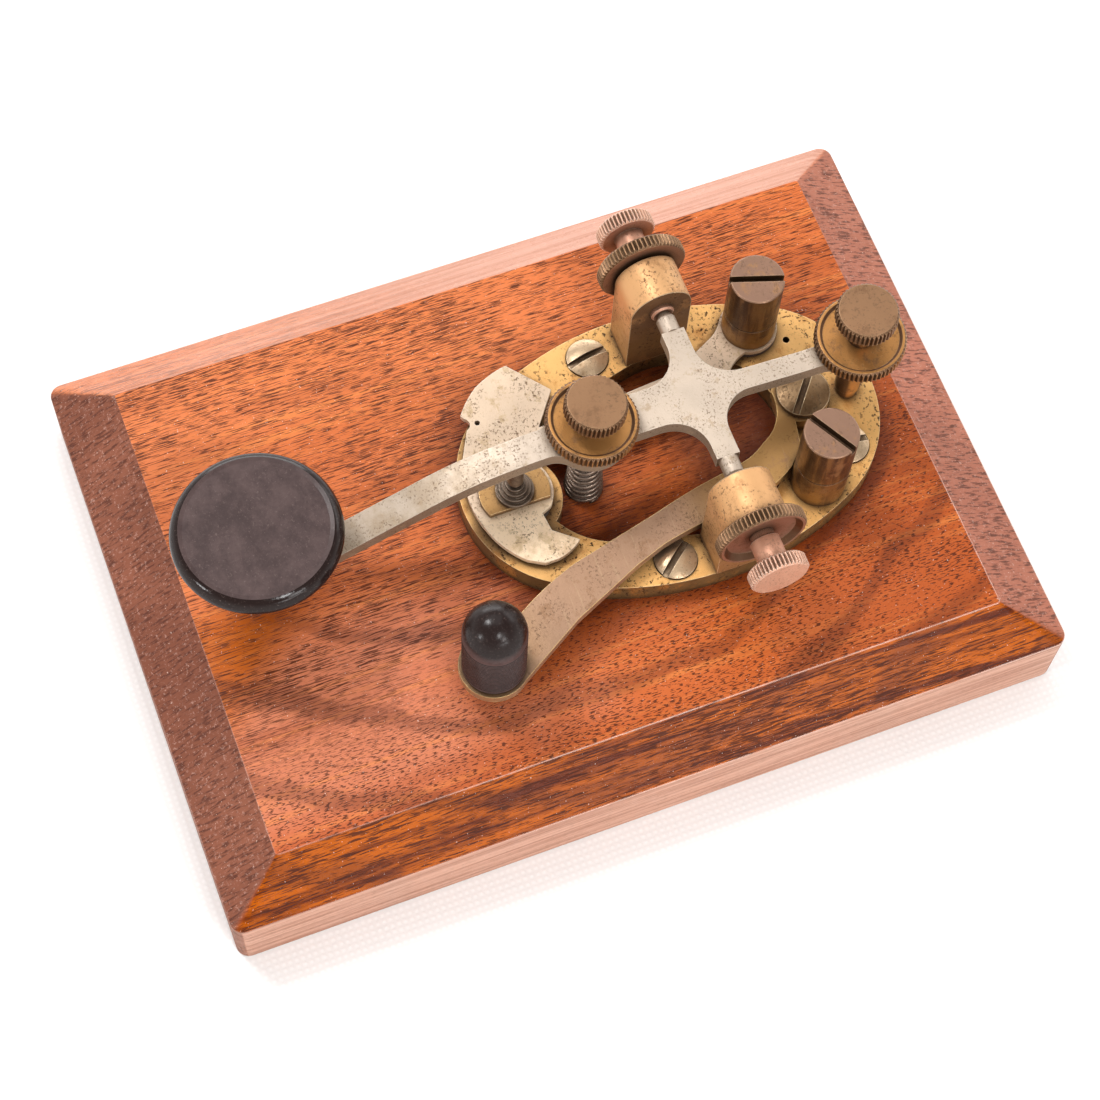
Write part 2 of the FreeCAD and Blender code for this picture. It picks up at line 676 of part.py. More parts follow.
def make_pivot_screw(name, side):
    """A side screw: its inner end is cupped and holds one journal of the lever."""
    shank = size.pivot_radius
    cup = size.cup_gap
    slope = (size.journal_radius - size.cone_tip) / (size.cone_reach - size.journal_reach)
    mouth = size.journal_radius - slope * (size.pivot_tip - size.journal_reach) + cup
    depth = size.cone_reach + cup - size.pivot_tip
    head = thumb_head(size.side_thumb_radius, size.pivot_head_start, size.pivot_head_end)
    profile = [
        (0, size.pivot_tip + depth), (mouth - slope * depth, size.pivot_tip + depth),
        (mouth, size.pivot_tip), (shank - 0.3, size.pivot_tip), (shank, size.pivot_tip + 0.3),
        (shank, size.pivot_neck_start), (size.pivot_neck, size.pivot_neck_start),
        (size.pivot_neck, size.pivot_head_start),
    ]
    body = turned_body(name, profile + head, 0, size.axle_y, size.axle_z, Rotation(Y_AXIS, 90 * side))
    knurl(body, size.side_thumb_radius, size.pivot_head_end, KNURLS_ON_SCREW)
    return body


def make_tension_screw():
    """The front screw: its pilot centres the spring under the lever."""
    shank = size.upright_radius
    top = size.tension_rise
    under = top - size.thumb_thick
    end = -size.tension_drop
    profile = [
        (0, end - size.pilot_long), (size.pilot_radius, end - size.pilot_long), (size.pilot_radius, end),
        (shank, end), (shank, under),
    ]
    body = turned_body("tension_screw", profile + thumb_head(size.thumb_radius, under, top),
                       0, size.tension_y, size.lever_seat, lean())
    knurl(body, size.thumb_radius, top, KNURLS_ON_SCREW)
    return body


def make_gap_screw():
    """The rear screw: it stands on the frame and sets how far the contacts part."""
    shank = size.upright_radius
    tip = shank - 0.35
    low = frame_top + size.running_gap
    under = size.gap_top - size.thumb_thick
    profile = [(0, low), (tip - 0.4, low), (tip, low + 0.4), (tip, low + 2.2), (shank, low + 2.6),
               (shank, under)]
    body = turned_body("gap_screw", profile + thumb_head(size.thumb_radius, under, size.gap_top),
                       0, size.gap_y, 0)
    knurl(body, size.thumb_radius, size.gap_top, KNURLS_ON_SCREW)
    return body


def lean():
    """The tension screw leans back: its top is nearer the axle than its foot."""
    return Rotation(X_AXIS, -size.tension_tilt.value)


# ---------------------------------------------------------------- lever

def lever_profile():
    """The lever seen from the side: flat under the knob, a rising arm, a level back."""
    thick = size.lever_thick
    seat = size.lever_seat
    rear = size.gap_seat
    low = size.knob_seat
    return [
        (68.0, rear), (47.0, rear), (33.0, seat), (0.0, seat), (-11.0, seat - 0.75, 80.0),
        (-25.0, seat - 4.9, 49.0), (-42.0, low + 1.4), (-48.5, low, -15.4), (-66.0, low),
        (-66.0, low - 2.6), (-48.5, low - 2.6), (-40.9, low - 0.93, 18.0), (-23.75, seat - 7.55),
        (-10.6, seat - thick - 0.72, -46.0), (0.0, seat - thick, -77.0), (33.0, seat - thick),
        (47.0, rear - thick), (68.0, rear - thick),
    ]


def neck(half_width, radius, eye_y, toward):
    """Where an arm meets an eye: the arm's end of the fillet, the eye's end, and its radius."""
    across = math.sin(math.radians(NECK_ANGLE))
    along = math.cos(math.radians(NECK_ANGLE))
    fillet = (radius * across - half_width) / (1.0 - across)
    meet = (radius * across, eye_y + radius * along * toward)
    start = (half_width, meet[1] + fillet * along * toward)
    return start, meet, fillet


def lever_plan():
    """The lever seen from above: a cross at the axle, and an eye for each upright screw."""
    arm = size.axle_arm_half
    front_fillet = size.trunk_half + size.cross_fillet
    rear_fillet = size.rear_arm_half + size.cross_fillet
    knob_start, knob_meet, knob_fillet = neck(size.front_arm_half, size.knob_eye, size.knob_y, 1)
    low_start, low_meet, low_fillet = neck(size.front_arm_half, size.front_eye, size.tension_y, -1)
    high_start, high_meet, high_fillet = neck(size.trunk_half, size.front_eye, size.tension_y, 1)
    rear_start, rear_meet, rear_neck = neck(size.rear_arm_half, size.rear_eye, size.gap_y, -1)
    right = [
        (0, size.knob_y - size.knob_eye, None),
        knob_meet + (size.knob_eye,), knob_start + (-knob_fillet,), low_start + (None,),
        low_meet + (-low_fillet,), high_meet + (size.front_eye,), high_start + (-high_fillet,),
        (size.trunk_half, size.axle_y - arm - size.cross_fillet, None),
        (front_fillet, size.axle_y - arm, -size.cross_fillet),
        (size.axle_arm_reach, size.axle_y - arm, None), (size.axle_arm_reach, size.axle_y + arm, None),
        (rear_fillet, size.axle_y + arm, None),
        (size.rear_arm_half, size.axle_y + arm + size.cross_fillet, -size.cross_fillet),
        rear_start + (None,), rear_meet + (-rear_neck,), (0, size.gap_y + size.rear_eye, size.rear_eye),
    ]
    path = [corner[:2] if corner[2] is None else corner for corner in right]
    for index in range(len(right) - 1, 0, -1):
        across, up = right[index - 1][:2]
        radius = right[index][2]
        corner = (-as_size(across), up)
        path.append(corner if radius is None else corner + (radius,))
    path[0] = path.pop()
    return path


def new_leaning_sketch(body, along):
    """A sketch square to the tension screw, at a distance along it from the lever's seat."""
    offset = lean().multVec(Vector(0, 0, along))
    sketch = new_sketch(body, "XY_Plane")
    sketch.AttachmentOffset = Placement(Vector(0, 0, 0), lean())
    bind(sketch, "AttachmentOffset.Base.y", size.tension_y + offset.y)
    bind(sketch, "AttachmentOffset.Base.z", size.lever_seat + offset.z)
    return sketch


def make_lever():
    """The lever: padded from its side view, cut to its plan, then journals, boss and holes."""
    body = new_body("lever")
    side = new_sketch(body, "YZ_Plane")
    add_outline(side, lever_profile())
    pad(body, side, size.axle_arm_reach * 2, both_ways=True)
    plan = new_sketch(body, "XY_Plane", size.knob_seat - 8)
    add_outline(plan, box_path(-30, -80, 30, 80))
    add_outline(plan, lever_plan())
    pocket(body, plan, 40)
    for sign in (-1, 1):
        journal = new_sketch(body, "XY_Plane", size.axle_z)
        bind(journal, "AttachmentOffset.Base.y", size.axle_y)
        add_outline(journal, [
            (size.axle_arm_reach * sign, 0), (size.cone_reach * sign, 0),
            (size.cone_reach * sign, size.cone_tip), (size.journal_reach * sign, size.journal_radius),
            (size.axle_arm_reach * sign, size.journal_radius),
        ])
        revolve(body, journal, "H_Axis")
    boss = new_leaning_sketch(body, -1.6)
    add_circle(boss, 0, 0, size.front_eye - 0.2)
    pad(body, boss, size.eye_boss + 1.6)
    tilted = new_leaning_sketch(body, -6)
    add_circle(tilted, 0, 0, size.upright_radius + size.running_gap)
    pocket(body, tilted, 12)
    upright = new_sketch(body, "XY_Plane", size.knob_seat - 8)
    add_circle(upright, 0, size.gap_y, size.upright_radius + size.running_gap)
    add_circle(upright, 0, size.knob_y, size.knob_screw_radius)
    pocket(body, upright, 40)
    socket = new_sketch(body, "XY_Plane", size.lever_seat - 6)
    add_circle(socket, 0, size.anvil_y, size.hammer_shank)
    pocket(body, socket, 6 - size.hammer_skin)
    return body


def make_hammer_contact():
    """The moving contact: a pin let into the underside of the lever."""
    low = anvil_top + size.contact_gap
    shoulder = size.lever_seat - size.lever_thick - size.hammer_shoulder
    return turned_body("hammer_contact", [
        (0, low), (size.hammer_radius - 0.3, low), (size.hammer_radius, low + 0.3),
        (size.hammer_radius, shoulder), (size.hammer_shank, shoulder),
        (size.hammer_shank, size.lever_seat - size.hammer_skin), (0, size.lever_seat - size.hammer_skin),
    ], 0, size.anvil_y, 0)


def make_knob():
    """The operator's knob: a broad disc on a waisted stem."""
    top = size.knob_height
    under = top - size.knob_disc
    bore = size.knob_screw_radius
    waist = size.knob_waist
    base = size.knob_base
    disc = size.knob_radius
    return turned_body("knob", [
        (bore, 0), (base, 0), (base, 1.4), (waist, 5.6, -6.0), (waist + 0.6, 9.6, -14.0),
        (disc - 3.4, under - 0.6, -9.0), (disc - 0.7, under + 0.8), (disc, under + 2.0, 1.6),
        (disc - 1.65, top, 2.6), (disc - 2.4, top - 0.12), (0, top - 0.12), (0, 8.6), (bore, 8.6),
    ], 0, size.knob_y, size.knob_seat)


def make_knob_screw():
    """The screw that comes up through the lever into the knob."""
    shank = size.knob_screw_radius
    under = size.knob_seat - 2.6
    return turned_body("knob_screw", [
        (0, under - 1.9), (shank + 1.4, under - 1.9), (shank + 1.9, under - 1.4), (shank + 1.9, under),
        (shank, under), (shank, size.knob_seat + 8.2), (0, size.knob_seat + 8.2),
    ], 0, size.knob_y, 0)


def make_tension_spring():
    """A tapering coil spring between the board and the tension screw."""
    body = new_body("tension_spring")
    wire = size.spring_wire
    low = board_top + size.running_gap + wire
    section = new_sketch(body, "XZ_Plane")
    corners = []
    for index in range(8):
        turn = math.radians(45 * index + 22.5)
        corners.append((size.spring_base + wire * math.cos(turn), low + wire * math.sin(turn)))
    add_outline(section, corners)
    coil = body.newObject("PartDesign::AdditiveHelix", "spring_coil")
    coil.Profile = section
    coil.ReferenceAxis = (section, ["V_Axis"])
    coil.Mode = 0
    bind(coil, "Pitch", size.spring_pitch)
    bind(coil, "Height", size.lever_seat - size.tension_drop - wire - 0.15 - low)
    bind(coil, "Angle", -size.spring_taper)
    put(body, 0, size.spring_y, 0)
    return body


# ---------------------------------------------------------------- circuit closer

def make_closer_arm():
    """A flat blade that swings from the rear of the frame round to the contact plate."""
    eye = size.terminal_radius + 1.05
    end_x = size.closer_knob_x
    end_y = size.closer_knob_y
    return prism("closer_arm", [
        (4.7, size.closer_y - 3.4), (-3.7, size.closer_y + 4.5, eye), (-2.4, size.closer_y - 5.28, eye),
        (6.7, 38.2, -9.0), (9.3, 32.0, -13.0), (10.7, 24.2), (13.2, 14.2, 130.0), (17.3, -2.7),
        (22.8, -14.6, 60.0), (end_x - 6.0, end_y + 1.9), (end_x + 1.9, end_y - 6.0, 6.3),
        (end_x + 4.7, end_y + 4.2, 6.3), (27.5, -5.7), (21.3, 8.1), (19.3, 13.7), (17.7, 22.1, -70.0),
        (16.6, 31.0), (12.8, 41.3, 24.0), (9.6, 44.4),
    ], closer_base, size.closer_thick,
        [(0, size.closer_y, size.closer_pivot + size.running_gap), (end_x, end_y, size.closer_stud)])


def make_closer_pivot_washer():
    outer = size.terminal_radius + 0.25
    return turned_body("closer_pivot_washer", [
        (size.closer_pivot, frame_top), (outer, frame_top), (outer, closer_base - size.running_gap),
        (size.closer_pivot, closer_base - size.running_gap),
    ], 0, size.closer_y, 0)


def make_closer_pivot_screw():
    """A low slotted shoulder screw that the circuit closer turns on."""
    shank = size.closer_pivot
    thread = size.closer_thread
    under = closer_top + size.seat_gap
    head = size.closer_head
    body = turned_body("closer_pivot_screw", [
        (0, board_top + 0.3), (thread, board_top + 0.3), (thread, frame_top), (shank, frame_top),
        (shank, under), (head, under), (head, under + 0.9), (0, under + 1.9, 13.0),
    ], 0, size.closer_y, 0, Rotation(Z_AXIS, 141))
    slot_across(body, size.slot_half, head + 1, under + 0.8, under + 3)
    return body


def make_closer_knob():
    """A bullet-shaped knob with a straight side and a round top."""
    radius = size.closer_knob_radius
    wall = size.closer_knob_wall
    return turned_body("closer_knob", [
        (size.closer_stud, 0), (radius - 0.4, 0), (radius, 0.4), (radius, wall),
        (0, wall + radius, radius), (0, 8.4), (size.closer_stud, 8.4),
    ], size.closer_knob_x, size.closer_knob_y, closer_top)


def make_closer_knob_stud():
    """The stud that comes up through the blade into the closer's knob."""
    shank = size.closer_stud
    head = shank + 1.2
    return turned_body("closer_knob_stud", [
        (0, closer_base - 1.0), (head - 0.4, closer_base - 1.0), (head, closer_base - 0.6),
        (head, closer_base), (shank, closer_base), (shank, closer_top + 8.0), (0, closer_top + 8.0),
    ], size.closer_knob_x, size.closer_knob_y, 0)


# ---------------------------------------------------------------- assembly

def make_everything():
    """Every piece of the key, one object each."""
    left_x = size.left_terminal_x
    left_y = size.left_terminal_y
    left_height = size.terminal_base
    right_x = size.right_terminal_x
    right_y = size.right_terminal_y
    right_height = size.terminal_base + size.terminal_rise
    pieces = [
        make_wooden_base(), make_key_frame(), make_frame_screws(), make_trunnion("trunnion_left", -1),
        make_trunnion("trunnion_right", 1), make_contact_insulator(), make_contact_plate(),
        make_anvil_washer(), make_anvil_contact(),
        make_bush("anvil_bushing", 0, size.anvil_y, None),
        make_bush("terminal_insulator", left_x, left_y, size.terminal_radius + size.tail_eye_rim),
        make_terminal_base("terminal_base_left", left_x, left_y, plate_top, left_height),
        make_terminal_base("terminal_base_right", right_x, right_y, frame_top, right_height),
        make_terminal_cap("terminal_cap_left", left_x, left_y, plate_top, left_height, 72),
        make_terminal_cap("terminal_cap_right", right_x, right_y, frame_top, right_height, 29),
        make_lever(), make_hammer_contact(), make_knob(), make_knob_screw(), make_tension_screw(),
        make_gap_screw(), make_tension_spring(), make_closer_arm(), make_closer_pivot_washer(),
        make_closer_pivot_screw(), make_closer_knob(), make_closer_knob_stud(),
    ]
    upright_bore = size.upright_radius + size.running_gap
    seat = lean().multVec(Vector(0, 0, size.eye_boss.value + size.seat_gap.value))
    pieces.append(make_locknut("tension_locknut", upright_bore, size.nut_thick, size.nut_dish,
                               0, size.tension_y + seat.y, size.lever_seat + seat.z, lean()))
    pieces.append(make_locknut("gap_locknut", upright_bore, size.nut_thick, size.nut_dish,
                               0, size.gap_y, size.gap_seat + size.seat_gap, Rotation()))
    face = size.trunnion_inner + size.trunnion_thick + size.collar_long + size.seat_gap
    for name, side in (("left", -1), ("right", 1)):
        pieces.append(make_pivot_screw("pivot_screw_" + name, side))
        pieces.append(make_locknut("pivot_locknut_" + name, size.pivot_radius + size.running_gap,
                                   size.side_nut_thick, size.side_nut_dish,
                                   face * side, size.axle_y, size.axle_z, Rotation(Y_AXIS, 90 * side)))
    return pieces


def check_piece(piece):
    if piece.Shape.isNull() or not piece.Shape.isValid():
        raise RuntimeError("{} has a bad shape".format(piece.Label))
    solids = len(piece.Shape.Solids)
    wanted = len(WOOD_SCREWS) if piece.Label == "frame_screws" else 1
    if solids != wanted:
        raise RuntimeError("{} has {} solids".format(piece.Label, solids))


def main():
    pieces = make_everything()
    doc.recompute()
    for item in doc.Objects:
        if "Invalid" in item.State or "Error" in item.State:
            raise RuntimeError("{} is {}".format(item.Label, item.State))
    for piece in pieces:
        check_piece(piece)
    os.makedirs("parts", exist_ok=True)
    for piece in pieces:
        piece.Shape.exportStep("parts/{}.step".format(piece.Label))


main()
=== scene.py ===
import json
import math

import bmesh
import bpy
from mathutils import Matrix, Vector


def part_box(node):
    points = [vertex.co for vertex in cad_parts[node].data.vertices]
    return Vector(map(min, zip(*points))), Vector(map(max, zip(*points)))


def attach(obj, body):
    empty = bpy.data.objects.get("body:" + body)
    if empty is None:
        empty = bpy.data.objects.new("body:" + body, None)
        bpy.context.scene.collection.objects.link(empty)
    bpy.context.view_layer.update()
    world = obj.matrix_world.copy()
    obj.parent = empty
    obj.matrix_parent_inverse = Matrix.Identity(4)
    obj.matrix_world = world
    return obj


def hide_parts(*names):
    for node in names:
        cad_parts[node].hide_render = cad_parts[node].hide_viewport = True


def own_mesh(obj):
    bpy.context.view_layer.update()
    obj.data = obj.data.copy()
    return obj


# A camelback telegraph key with a circuit closer, on a bevelled wooden board.
# Metres and +Z up. The knob is towards -Y, and the circuit closer is on the +X side.

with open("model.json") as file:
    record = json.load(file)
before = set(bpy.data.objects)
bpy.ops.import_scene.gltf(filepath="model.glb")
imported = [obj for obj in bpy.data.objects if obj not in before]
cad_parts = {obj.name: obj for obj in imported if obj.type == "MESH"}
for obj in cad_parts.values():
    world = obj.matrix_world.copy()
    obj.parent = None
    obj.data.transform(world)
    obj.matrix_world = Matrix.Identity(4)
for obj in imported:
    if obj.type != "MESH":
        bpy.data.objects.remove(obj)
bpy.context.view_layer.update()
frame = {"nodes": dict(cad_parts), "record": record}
nodes = frame["nodes"]
MM = 0.001


# ---------------------------------------------------------------- camera

CAMERA_AZIMUTH = 65.215
CAMERA_ELEVATION = 66.056
CAMERA_ROLL = 4.376
CAMERA_TARGET_MM = Vector((0.846, -0.011, 0))
CAMERA_DISTANCE_MM = 502.96
CAMERA_LENS = 86.32
SENSOR_WIDTH = 36


def add_camera():
    """A long lens, well above the board, on the circuit closer's side and a little in front."""
    azimuth = math.radians(CAMERA_AZIMUTH)
    elevation = math.radians(CAMERA_ELEVATION)
    roll = math.radians(CAMERA_ROLL)
    back = Vector((math.sin(azimuth) * math.cos(elevation),
                   -math.cos(azimuth) * math.cos(elevation),
                   math.sin(elevation)))
    right = Vector((math.cos(azimuth), math.sin(azimuth), 0))
    up = back.cross(right)
    right_rolled = math.cos(roll) * right + math.sin(roll) * up
    up_rolled = -math.sin(roll) * right + math.cos(roll) * up
    data = bpy.data.cameras.new("camera")
    data.sensor_width = SENSOR_WIDTH
    data.lens = CAMERA_LENS
    data.clip_start = 0.01
    camera = bpy.data.objects.new("camera", data)
    bpy.context.scene.collection.objects.link(camera)
    place = CAMERA_TARGET_MM * MM + back * CAMERA_DISTANCE_MM * MM
    turn = Matrix((right_rolled, up_rolled, back)).transposed()
    camera.matrix_world = Matrix.Translation(place) @ turn.to_4x4()
    bpy.context.scene.camera = camera


# ---------------------------------------------------------------- node building

class Shader:
    """A material with a Principled shader, and short ways to add nodes to it."""

    def __init__(self, name):
        self.material = bpy.data.materials.new(name)
        self.material.use_nodes = True
        self.tree = self.material.node_tree
        self.tree.nodes.clear()
        self.output = self.add("ShaderNodeOutputMaterial")
        self.surface = self.add("ShaderNodeBsdfPrincipled")
        self.link(self.surface.outputs[0], self.output.inputs[0])
        self.place = self.add("ShaderNodeTexCoord").outputs["Object"]

    def add(self, kind, **settings):
        node = self.tree.nodes.new(kind)
        for key, value in settings.items():
            setattr(node, key, value)
        return node

    def link(self, output, socket):
        self.tree.links.new(output, socket)

    def feed(self, socket, value):
        """Links an output to the socket, or sets a number or a colour on it."""
        if isinstance(value, bpy.types.NodeSocket):
            self.link(value, socket)
        elif value is not None:
            four_wide = hasattr(socket.default_value, "__len__") and len(socket.default_value) == 4
            if four_wide and len(value) == 3:
                value = (*value, 1.0)
            socket.default_value = value

    def shader_input(self, name, value):
        """An output or a number for one of the Principled shader's own sockets."""
        self.feed(self.surface.inputs[name], value)

    # Arithmetic and colour

    def math(self, operation, first, second=None, clamp=False):
        node = self.add("ShaderNodeMath", operation=operation, use_clamp=clamp)
        for socket, value in zip(node.inputs, (first, second)):
            self.feed(socket, value)
        return node.outputs[0]

    def times(self, first, second):
        return self.math("MULTIPLY", first, second)

    def size_of(self, value):
        return self.math("ABSOLUTE", value)

    def but_not(self, value):
        return self.math("SUBTRACT", 1.0, value)

    def mix(self, factor, first, second):
        node = self.add("ShaderNodeMix", data_type="RGBA", blend_type="MIX")
        self.feed(node.inputs[0], factor)
        self.feed(node.inputs[6], first)
        self.feed(node.inputs[7], second)
        return node.outputs[2]

    def tint(self, colour, where, share, other):
        """The colour, moved by share towards the other one where `where` is 1."""
        return self.mix(self.times(where, share), colour, other)

    def ramp(self, value, low, high, bottom=0.0, top=1.0, smooth=True):
        """value from low to high becomes bottom to top."""
        kind = "SMOOTHSTEP" if smooth else "LINEAR"
        node = self.add("ShaderNodeMapRange", interpolation_type=kind)
        self.link(value, node.inputs[0])
        for socket, number in zip(node.inputs[1:5], (low, high, bottom, top)):
            socket.default_value = number
        return node.outputs[0]

    # Patterns

    def stretched(self, scale, turn=(0, 0, 0), move=(0, 0, 0)):
        """The place on the model, scaled, turned and moved to stretch a pattern."""
        node = self.add("ShaderNodeMapping")
        self.link(self.place, node.inputs[0])
        node.inputs["Scale"].default_value = scale
        node.inputs["Rotation"].default_value = turn
        node.inputs["Location"].default_value = move
        return node.outputs[0]

    def noise(self, scale, detail=3.0, rough=0.5, place=None, distortion=0.0):
        node = self.add("ShaderNodeTexNoise")
        self.link(place or self.place, node.inputs["Vector"])
        node.inputs["Scale"].default_value = scale
        node.inputs["Detail"].default_value = detail
        node.inputs["Roughness"].default_value = rough
        node.inputs["Distortion"].default_value = distortion
        return node.outputs[0]

    # Place and direction on the model

    def part(self, vector, axis):
        split = self.add("ShaderNodeSeparateXYZ")
        self.link(vector, split.inputs[0])
        return split.outputs["XYZ".index(axis)]

    def place_part(self, axis):
        return self.part(self.place, axis)

    def normal_part(self, axis):
        """One part of the true surface normal in the model's own axes."""
        coordinates = self.add("ShaderNodeTexCoord")
        return self.part(coordinates.outputs["Normal"], axis)

    def at(self, axis, none, full):
        """0 to 1 as the place along an axis goes from none to full."""
        return self.ramp(self.place_part(axis), none, full)

    def off_centre(self, axis, none, full):
        """As `at`, for the distance from the axis's zero on either side."""
        return self.ramp(self.size_of(self.place_part(axis)), none, full)

    def facing(self, axis, none, full):
        """0 to 1 as the normal's part along an axis goes from none to full."""
        return self.ramp(self.normal_part(axis), none, full)

    def facing_either(self, axis, none, full):
        """As `facing`, for both directions along the axis."""
        return self.ramp(self.size_of(self.normal_part(axis)), none, full)

    # Edges, corners and relief

    def bump(self, height, distance, strength=1.0, normal=None):
        node = self.add("ShaderNodeBump")
        node.inputs["Distance"].default_value = distance
        node.inputs["Strength"].default_value = strength
        self.link(height, node.inputs["Height"])
        if normal is not None:
            self.link(normal, node.inputs["Normal"])
        return node.outputs[0]

    def rounded(self, radius):
        """The normal as if every edge were rounded off."""
        node = self.add("ShaderNodeBevel", samples=6)
        node.inputs["Radius"].default_value = radius
        return node.outputs[0]

    def edge(self, radius, flat=0.99, sharp=0.86):
        """1 on edges and 0 on flat faces: how far the rounded normal leaves the true one."""
        geometry = self.add("ShaderNodeNewGeometry")
        node = self.add("ShaderNodeVectorMath", operation="DOT_PRODUCT")
        self.link(self.rounded(radius), node.inputs[0])
        self.link(geometry.outputs["Normal"], node.inputs[1])
        return self.ramp(node.outputs["Value"], flat, sharp)

    def crevice(self, reach):
        """1 deep in corners and beside other pieces, 0 in the open."""
        node = self.add("ShaderNodeAmbientOcclusion", samples=6)
        node.inputs["Distance"].default_value = reach
        return self.ramp(node.outputs["AO"], 0.95, 0.45)


# ---------------------------------------------------------------- metal

def metal(name, base, patina, dark, bright, roughness, cover=0.4, pits=0.5, size=600, metallic=0.70,
          wear=0.6, soft=0.0002, shade_and_grime=0.9, zones=None):
    """Aged metal: uneven base, blotches of patina, pits in clusters, painted shade and dirt in corners,
    bright worn edges.

    base, patina, dark and bright are the colours of clean metal, blotches, pits with the painted shade and
    dirt in corners, and worn edges.
    cover, pits and wear say how much there is of patina, pitting and edge wear; the amount after soft says
    how much painted shade and dirt darken the corners.
    size is how fine the blotches and pits are, and soft is the radius that edges seem to have.
    zones is a function that colours parts of the piece by place, under the patina.
    """
    m = Shader(name)
    colour = m.mix(m.ramp(m.noise(55, 3.0, 0.55), 0.32, 0.68), base, [part * 0.84 for part in base])
    if zones:
        colour = zones(m, colour)

    blotch = m.noise(size * 0.42, 8.0, 0.74)
    patch = m.ramp(blotch, 0.62 - cover * 0.24, 0.70 - cover * 0.14)
    colour = m.tint(colour, patch, 0.70, patina)

    cluster = m.ramp(m.noise(size * 0.22, 4.0, 0.65), 0.40, 0.56)
    pit = m.ramp(m.noise(size * 3.2, 4.0, 0.70), 0.555, 0.605)
    pitted = m.times(m.times(pit, cluster), pits)
    colour = m.mix(pitted, colour, dark)

    # Painted shade with dirt: darker in corners and beside other pieces, where shade falls.
    corner_shade_and_grime = m.crevice(0.0026)
    colour = m.tint(colour, corner_shade_and_grime, shade_and_grime, dark)
    worn = m.times(m.edge(soft * 1.5), m.but_not(corner_shade_and_grime))
    colour = m.tint(colour, worn, wear, bright)
    m.shader_input("Base Color", colour)
    m.shader_input("Metallic", metallic)

    rough = m.ramp(m.noise(size * 0.6, 4.0, 0.7), 0.3, 0.75, roughness * 0.85, roughness * 1.15)
    rough = m.math("ADD", rough, m.times(patch, 0.10))
    rough = m.math("ADD", rough, m.times(pitted, 0.25), clamp=True)
    m.shader_input("Roughness", rough)

    height = m.math("SUBTRACT", m.noise(size * 2.4, 4.0, 0.65), pitted)
    m.shader_input("Normal", m.bump(height, 0.00006, 0.7, m.rounded(soft)))
    return m.material


def trunnion_zones(m, colour):
    """Brown inner faces, and browner lower parts."""
    inner = m.off_centre("X", 0.0185, 0.01835)
    colour = m.tint(colour, inner, 0.9, (0.105, 0.045, 0.018))
    low = m.at("Z", 0.0430, 0.0330)
    return m.tint(colour, low, 0.65, (0.25, 0.125, 0.040))


def post_zones(m, colour):
    """Posts: reddish brown tops, sides with upright streaks, golden patches near the foot that also stand
    for a painted reflection of the brass frame.
    """
    side = m.facing_either("Z", 0.8, 0.4)
    streaks = m.noise(420, 4.0, 0.65, m.stretched((1.0, 1.0, 0.10)))
    walls = m.mix(m.ramp(streaks, 0.42, 0.62), (0.075, 0.035, 0.016), (0.25, 0.125, 0.045))
    # Golden near the foot: patches, together with a painted reflection of the brass frame.
    foot = m.times(m.at("Z", 0.041, 0.031), m.ramp(m.noise(150, 3.0, 0.6), 0.40, 0.58))
    walls = m.tint(walls, foot, 0.75, (0.36, 0.19, 0.052))
    return m.mix(side, colour, walls)


def thumb_zones(m, colour):
    """Knurled rims are dark, and the dished faces of the upright locknuts are golden brown."""
    face = m.facing("Z", 0.75, 0.93)
    upright_nut = m.times(m.at("Z", 0.0512, 0.0506), m.off_centre("X", 0.012, 0.010))
    top = m.mix(upright_nut, colour, (0.500, 0.235, 0.070))
    outside = m.facing_either("X", 0.80, 0.95)
    pivot_nut = m.times(outside, m.off_centre("X", 0.020, 0.022))
    top = m.mix(pivot_nut, top, (0.33, 0.165, 0.105))
    flat = m.math("MAXIMUM", face, outside)
    return m.mix(flat, (0.125, 0.058, 0.026), top)


def closer_zones(m, colour):
    """Golden where the arm lies on the frame and in patches near its knob, with fine scratches."""
    rear = m.at("Y", 0.016, 0.030)
    colour = m.tint(colour, rear, 0.85, (0.40, 0.215, 0.060))
    front = m.times(m.at("Y", -0.008, -0.026), m.ramp(m.noise(120, 3.0, 0.6), 0.36, 0.60))
    colour = m.tint(colour, front, 0.55, (0.42, 0.24, 0.085))
    lines = m.noise(900, 2.0, 0.6, m.stretched((0.06, 1.0, 1.0), turn=(0, 0, 0.5)))
    return m.tint(colour, m.ramp(lines, 0.60, 0.72), 0.30, (0.50, 0.34, 0.20))


def plate_zones(m, colour):
    """A paler near wing, painted light that brightens it in the lever's shadow, with tan tarnish on its tip.
    """
    # Painted light: the near wing is made paler to brighten it where the lever's shadow falls.
    colour = m.tint(colour, m.at("X", 0.001, 0.004), 0.8, (0.900, 0.710, 0.490))
    tip = m.times(m.at("X", 0.006, 0.012), m.ramp(m.noise(230, 5.0, 0.65), 0.42, 0.62))
    return m.tint(colour, tip, 0.50, (0.42, 0.23, 0.085))


def lever_zones(m, colour):
    """A tan front arm, and darker, browner sides."""
    front = m.times(m.at("Y", -0.004, -0.020), m.ramp(m.noise(160, 4.0, 0.65), 0.30, 0.60))
    colour = m.tint(colour, front, 0.62, (0.370, 0.270, 0.175))
    side = m.facing_either("Z", 0.75, 0.30)
    return m.tint(colour, side, 0.72, (0.22, 0.145, 0.085))


